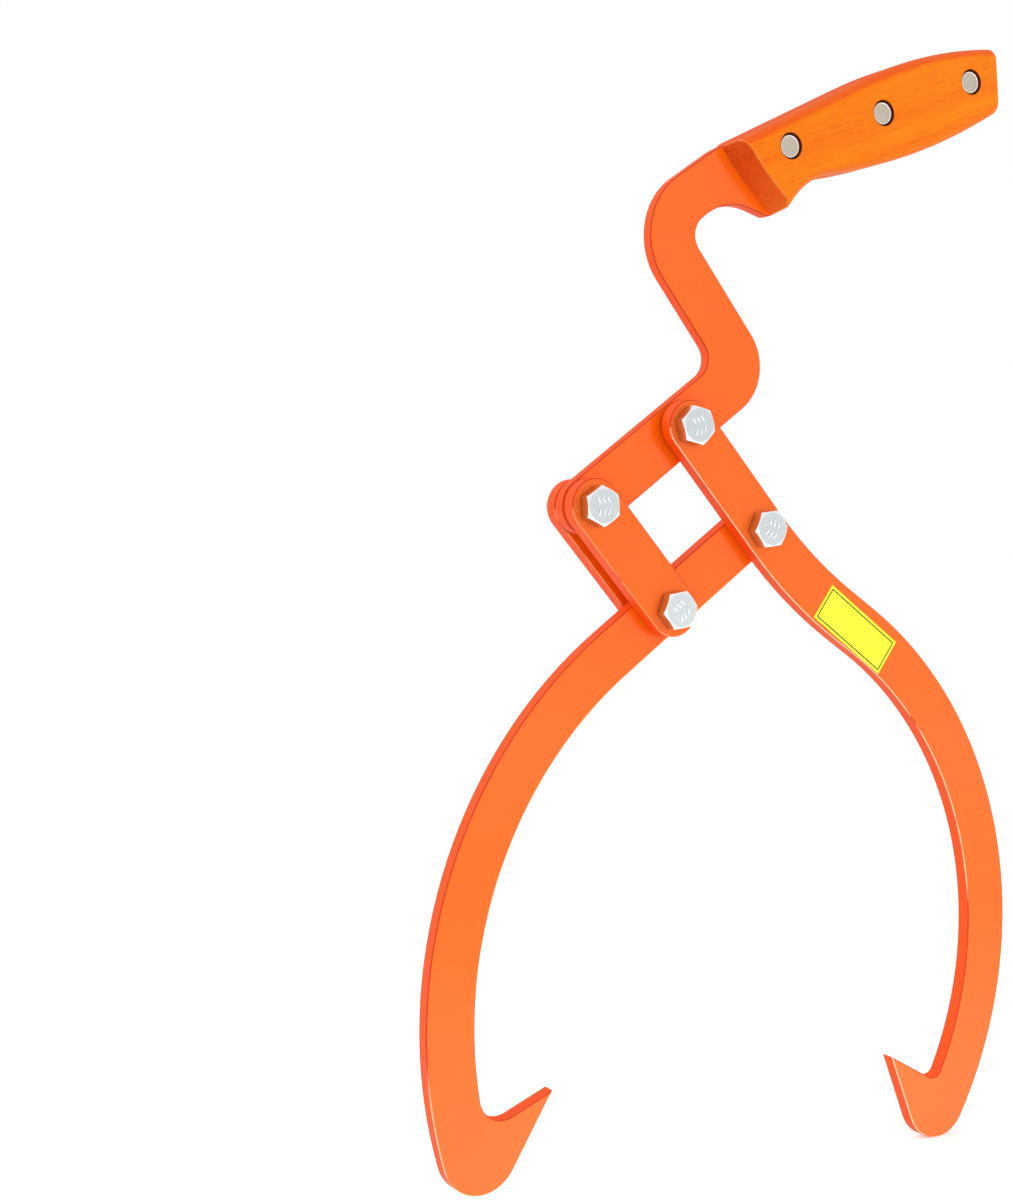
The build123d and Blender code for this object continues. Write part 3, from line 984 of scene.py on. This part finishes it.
tube_long = depth("rivet_post_middle") - rivet_thick
pin_long = depth("rivet_cap_middle") - rivet_thick
first_post = rivet_half([
    (tube_radius, 0), (tube_radius, tube_long), (bore_radius, tube_long), (bore_radius, bore_floor),
    (0, bore_floor)])
first_cap = rivet_half([(pin_radius, 0), (pin_radius, pin_long), (0, pin_long)])
print("tube", round(tube_long / mm, 2), "mm long, pin", round(pin_long / mm, 2), "mm long")

# %% Six rivet halves
halves = (("post", first_post, -quarter_turn), ("cap", first_cap, quarter_turn))
for where in ("neck", "middle", "butt"):
    for half, first, facing in halves:
        plain = "rivet_" + half + "_" + where
        low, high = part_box(plain)
        seat = low.y + rivet_thick if half == "post" else high.y - rivet_thick
        rivet = copy_of(first)
        point = ((low.x + high.x) / 2, seat, (low.z + high.z) / 2)
        set_down(rivet, (radians(facing), 0, 0), point)
        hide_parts(plain)
        settle(rivet, "turned_" + half + "_" + where, aluminium, "handle")
bpy.data.objects.remove(first_post)
bpy.data.objects.remove(first_cap)


# %% [markdown]
# Blank sticker
#
# A yellow vinyl sticker sits on the front of the right jaw, below its bend. It is left blank:
# yellow with a thin dark border near its edge. The border could be drawn by the shader, but a plane
# that is inset twice gives it a crisp line, because the narrow ring between the two insets takes
# the dark finish. A little thickness lets the sticker's edge catch the light.

# %% Printed vinyl
vinyl_cloud = 4.0 * mm


def sticker_vinyl(name, deep, light):
    # Printed vinyl: one strong, nearly even colour under a smooth plastic shine
    finish, tree, shader = new_finish(name, {
        "Roughness": 0.35, "IOR": 1.46, "Specular IOR Level": 0.3})
    place = add_node(tree, "ShaderNodeTexCoord")
    cloud = add_node(tree, "ShaderNodeTexNoise", {
        "Vector": place.outputs["Object"], "Scale": 1 / vinyl_cloud, "Detail": 2.0})
    tone = add_node(tree, "ShaderNodeMix", {
        "Factor": cloud.outputs[0], colour_a: linear(deep), colour_b: linear(light)},
        data_type="RGBA")
    tree.links.new(tone.outputs[mixed_colour], shader.inputs["Base Color"])
    return finish


yellow = sticker_vinyl("yellow_vinyl", "#fdf52a", "#fffb40")
dark_print = sticker_vinyl("dark_print", "#24240a", "#343410")
print("made", yellow.name, "and", dark_print.name)

# %% Sticker
sticker_long, sticker_wide, sticker_thick = 39.0 * mm, 15.0 * mm, 0.1 * mm
sticker_centre = Vector((-8.5, -9.3, -198.1)) * mm
sticker_heading = -36.0
border_inset, border_line = 1.0 * mm, 0.45 * mm

bpy.ops.object.select_all(action="DESELECT")
bpy.ops.mesh.primitive_plane_add(size=1)
sticker = bpy.context.object
sticker.scale = (sticker_long, sticker_wide, 1)
bpy.ops.object.transform_apply(location=True, rotation=True, scale=True)
sticker.data.materials.append(yellow)
sticker.data.materials.append(dark_print)
bpy.ops.object.mode_set(mode="EDIT")
bpy.ops.mesh.select_mode(type="FACE")
bpy.ops.mesh.select_all(action="SELECT")
bpy.ops.mesh.inset(thickness=border_inset)
sticker.active_material_index = 1
bpy.ops.object.material_slot_assign()
bpy.ops.mesh.inset(thickness=border_line)
sticker.active_material_index = 0
bpy.ops.object.material_slot_assign()
bpy.ops.object.mode_set(mode="OBJECT")
apply_modifier(sticker, "SOLIDIFY", thickness=sticker_thick, offset=1)
set_down(sticker, (radians(quarter_turn), radians(-sticker_heading), 0), sticker_centre)
settle(sticker, "blank_sticker", None, "right_jaw")


# %% [markdown]
# Camera
#
# The tongs are seen from the front left, with the eye a little above their middle and a little over
# half a metre away. A camera can be turned by three angles; here it is turned to look at a point,
# which is easier to read.

# %% Camera
eye = Vector((-456.8, -558.0, -159.0)) * mm
aim = Vector((-161.8, -9.3, -183.7)) * mm
sensor_high, lens_length = 36.0, 54.0
bpy.ops.object.select_all(action="DESELECT")
bpy.ops.object.camera_add(location=eye, rotation=(aim - eye).to_track_quat("-Z", "Y").to_euler())
camera = bpy.context.object
camera.data.sensor_fit = "VERTICAL"
camera.data.sensor_height = sensor_high
camera.data.lens = lens_length
bpy.context.scene.camera = camera
print("camera", round((aim - eye).length, 3), "m from what it looks at")


# %% [markdown]
# White surround
#
# The tongs stand in a white surround, as in a studio light tent: it lights them softly from all
# round, and the camera and every mirror see it as white. A tent that is white all round leaves
# glossy paint without a shape, so mirrors also see one dark card behind the tongs, which draws the
# outlines. Walls and a card could be modelled, but the world gives the same light with nothing to
# get in the way.

# %% White surround
fill_strength, camera_white = 0.8, 1.0
white_shine, card_shine = 0.92, 0.15
card_heading = (0.6, 0.8, 0.0)
card_from, card_full = 0.6, 0.95


def seen_directly(tree):
    ray = add_node(tree, "ShaderNodeLightPath")
    mirrored = add_node(tree, "ShaderNodeMath", {
        0: ray.outputs["Is Glossy Ray"], 1: ray.outputs["Is Transmission Ray"]},
        operation="MAXIMUM")
    either = add_node(tree, "ShaderNodeMath", {
        0: ray.outputs["Is Camera Ray"], 1: mirrored.outputs[0]}, operation="MAXIMUM")
    return either.outputs[0]


bpy.context.scene.view_settings.view_transform = "Standard"
surround = bpy.data.worlds.new("white_surround")
surround.use_nodes = True
bpy.context.scene.world = surround
tent = surround.node_tree
look = add_node(tent, "ShaderNodeTexCoord")
toward = add_node(tent, "ShaderNodeVectorMath", {
    0: look.outputs["Generated"], 1: card_heading}, operation="DOT_PRODUCT")
shine = add_node(tent, "ShaderNodeMapRange", {
    "Value": toward.outputs["Value"], "From Min": card_from, "From Max": card_full,
    "To Min": white_shine, "To Max": card_shine}, interpolation_type="SMOOTHSTEP")
path = add_node(tent, "ShaderNodeLightPath")
shown = add_node(tent, "ShaderNodeMix", {
    "Factor": path.outputs["Is Camera Ray"], number_a: shine.outputs[0], number_b: camera_white})
level = add_node(tent, "ShaderNodeMix", {
    "Factor": seen_directly(tent), number_a: fill_strength, number_b: shown.outputs[0]})
tent.links.new(level.outputs[0], tent.nodes["Background"].inputs["Strength"])
tent.nodes["Background"].inputs["Color"].default_value = linear("#ffffff")
print(surround.name, "lights at", fill_strength, "and its dark card shines at", card_shine)


# %% [markdown]
# White floor
#
# The tongs stand on a matte white floor that keeps the soft shadow under the lower hook. More light
# could bring it up to white, but would bleach the paint, so the floor glows a little instead, only
# for the camera and for mirrors.

# %% White floor
floor_size, floor_lift = 12.0, 0.4
bpy.ops.object.select_all(action="DESELECT")
bpy.ops.mesh.primitive_plane_add(size=floor_size, location=(0, 0, cad_box[0].z))
floor = bpy.context.object
floor.name = "floor"
# Matte card: white with no shine, so that only the soft shadow shows on it
white_floor = bpy.data.materials.new("white_floor")
white_floor.use_nodes = True
board = white_floor.node_tree
board.nodes.remove(board.nodes["Principled BSDF"])
matte = add_node(board, "ShaderNodeBsdfDiffuse", {"Color": linear("#e8e8e8")})
lift = add_node(board, "ShaderNodeMath", {
    0: seen_directly(board), 1: floor_lift}, operation="MULTIPLY")
glow = add_node(board, "ShaderNodeEmission", {"Strength": lift.outputs[0]})
both = add_node(board, "ShaderNodeAddShader", {0: matte.outputs[0], 1: glow.outputs[0]})
board.links.new(both.outputs[0], board.nodes["Material Output"].inputs["Surface"])
floor.data.materials.append(white_floor)
floor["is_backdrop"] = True
print("floor", floor_size, "m wide at", round(cad_box[0].z / mm, 1), "mm")


# %% [markdown]
# Lamps
#
# Three soft lamps add direction: a key from the front right, a small low one for the hooks, and one
# high on the left and a little behind, which lights the cut sides but not the gaps between the
# plates. Bare bulbs could do it too, but their shadows would be hard, so each lamp is a flat panel.
# Mirrors see the white surround and not the panels.

# %% Lamps
def soft_lamp(name, place, target, size, watts, beam=180):
    bpy.ops.object.select_all(action="DESELECT")
    stand = Vector(place)
    heading = (Vector(target) - stand).to_track_quat("-Z", "Y").to_euler()
    bpy.ops.object.light_add(type="AREA", location=stand, rotation=heading)
    lamp = bpy.context.object
    lamp.name = name
    lamp.data.size = size
    lamp.data.energy = watts
    lamp.data.spread = radians(beam)
    lamp.visible_camera = False
    lamp.visible_glossy = False
    print(name, watts, "W,", round((Vector(target) - stand).length, 2), "m from what it lights")


soft_lamp("key_lamp", place=(0.7, -1.4, -0.05), target=aim, size=1.2, watts=10.0)
soft_lamp("low_lamp", place=(-0.06, -0.45, -0.33), target=(-0.07, 0.0, -0.4),
          size=0.1, watts=0.1, beam=60)
soft_lamp("left_lamp", place=(-0.75, 0.2, 0.25), target=(-0.12, 0.0, -0.06), size=0.6, watts=2.3)


# %% [markdown]
# Sizes
#
# The box round the dressed model is set beside the frame's own, and how far each corner moved is printed, to
# show that nothing grew.

# %% Sizes
boxes = {"cad": [list(corner) for corner in cad_box], "visual": [list(corner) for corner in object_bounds()]}
for name, cad, visual in zip(("lowest", "highest"), boxes["cad"], boxes["visual"]):
    print(name, "corner moved by", [round((v - c) / mm, 3) for c, v in zip(cad, visual)], "mm")
